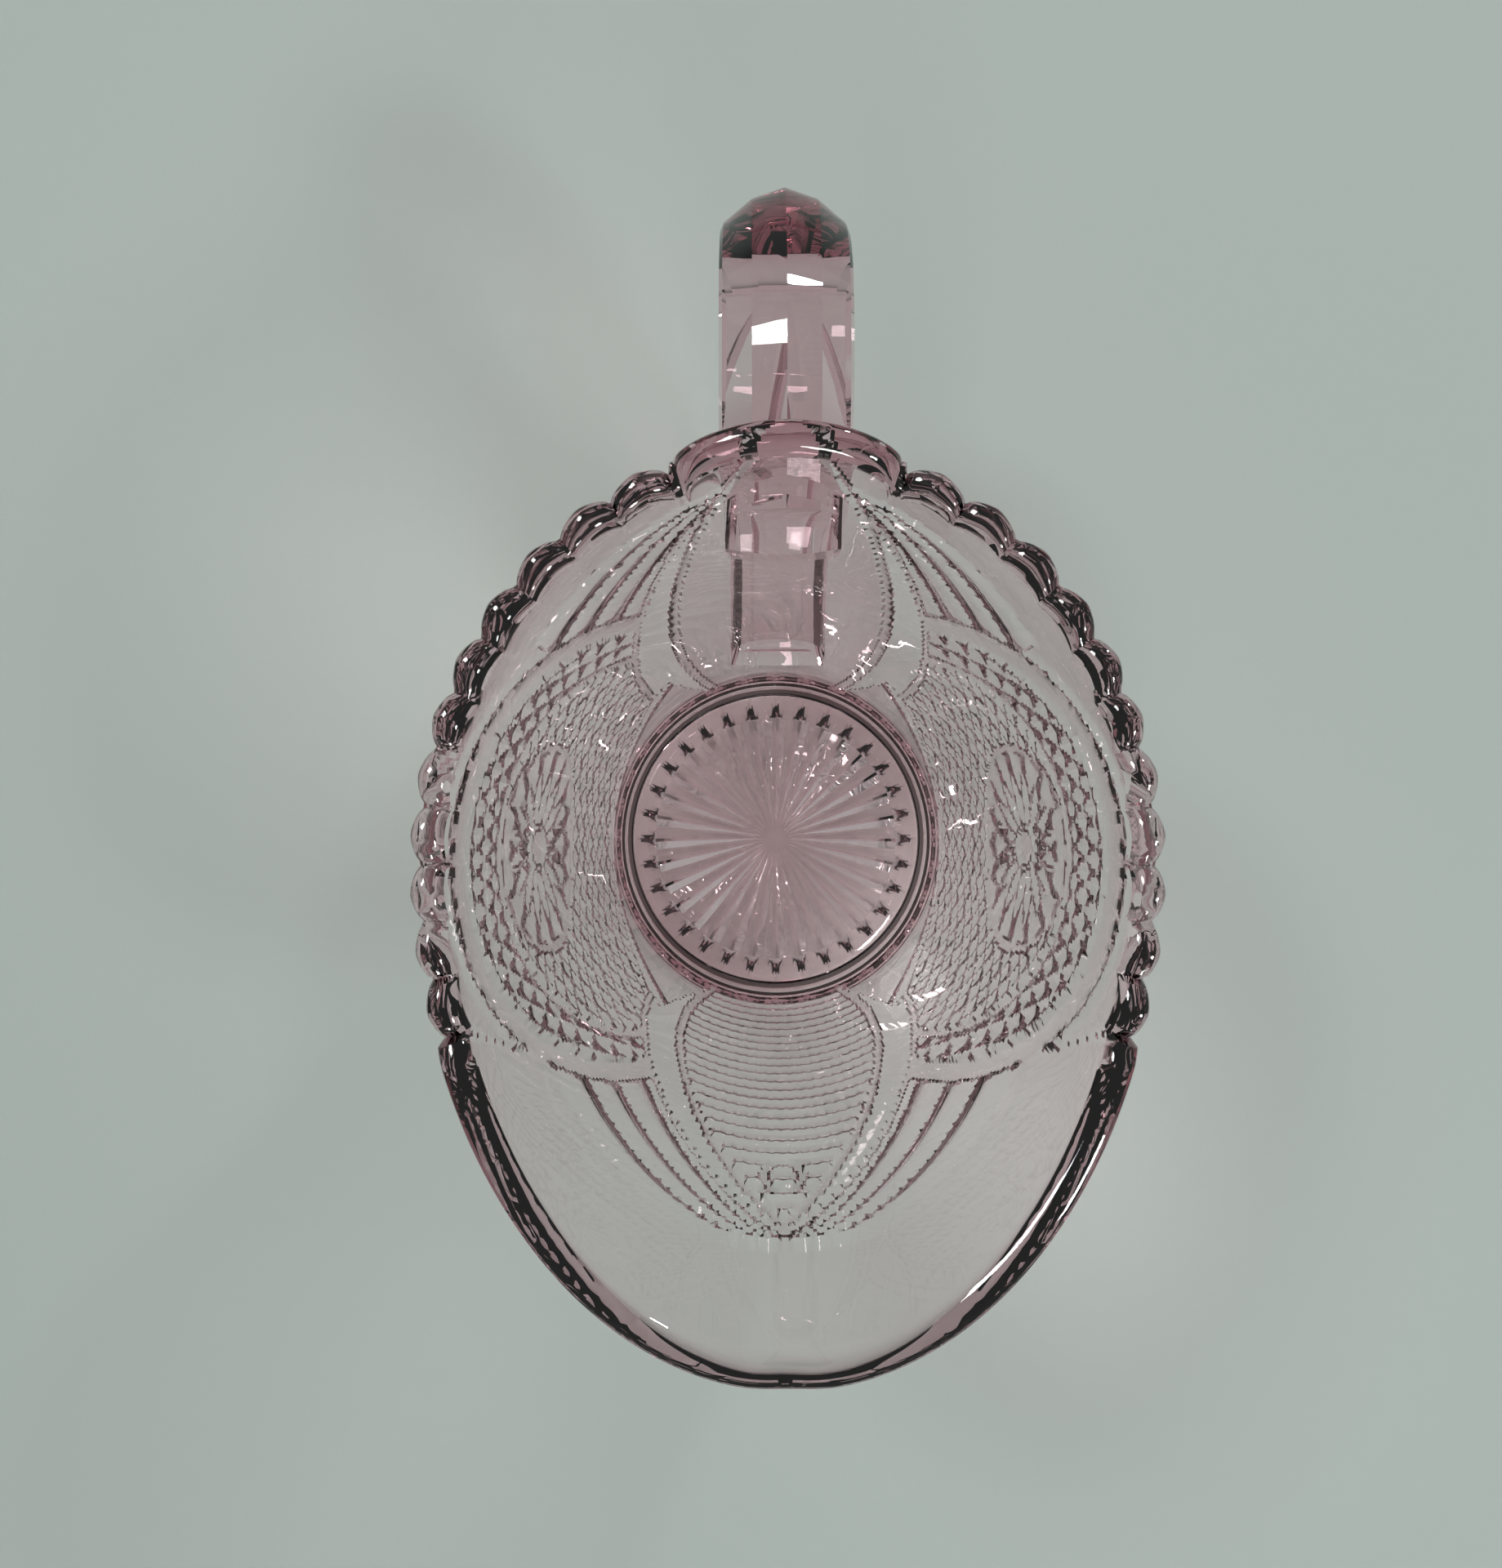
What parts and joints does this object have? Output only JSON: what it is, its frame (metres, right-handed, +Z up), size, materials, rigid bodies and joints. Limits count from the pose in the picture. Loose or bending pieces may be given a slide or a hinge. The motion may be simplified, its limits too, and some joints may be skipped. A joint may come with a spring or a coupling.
{
  "type": "cream pitcher",
  "caption": "Pressed glass cream pitcher with a star base, arched medallion panels, scalloped rim, broad spout and loop handle",
  "frame": {"origin": "centre of the resting face, on the vessel's axis", "axes": "+Z up, -Y towards the spout, +Y towards the handle, +X to the right seen from the spout's back"},
  "size_m": [0.0846, 0.1409, 0.0885],
  "materials": {
    "pink_glass": "clear pale pink pressed glass, fire-polished, glossy"
  },
  "bodies": {
    "root": {"star_base": "pink_glass", "handle_panel": "pink_glass", "front_panel": "pink_glass", "thumb_rest": "pink_glass", "spout": "pink_glass", "handle": "pink_glass", "right_medallion_panel": "pink_glass", "left_medallion_panel": "pink_glass", "right_handle_fan_panel": "pink_glass", "left_handle_fan_panel": "pink_glass", "right_spout_fan_panel": "pink_glass", "left_spout_fan_panel": "pink_glass", "right_scalloped_rim": "pink_glass", "left_scalloped_rim": "pink_glass"}
  },
  "joints": []
}
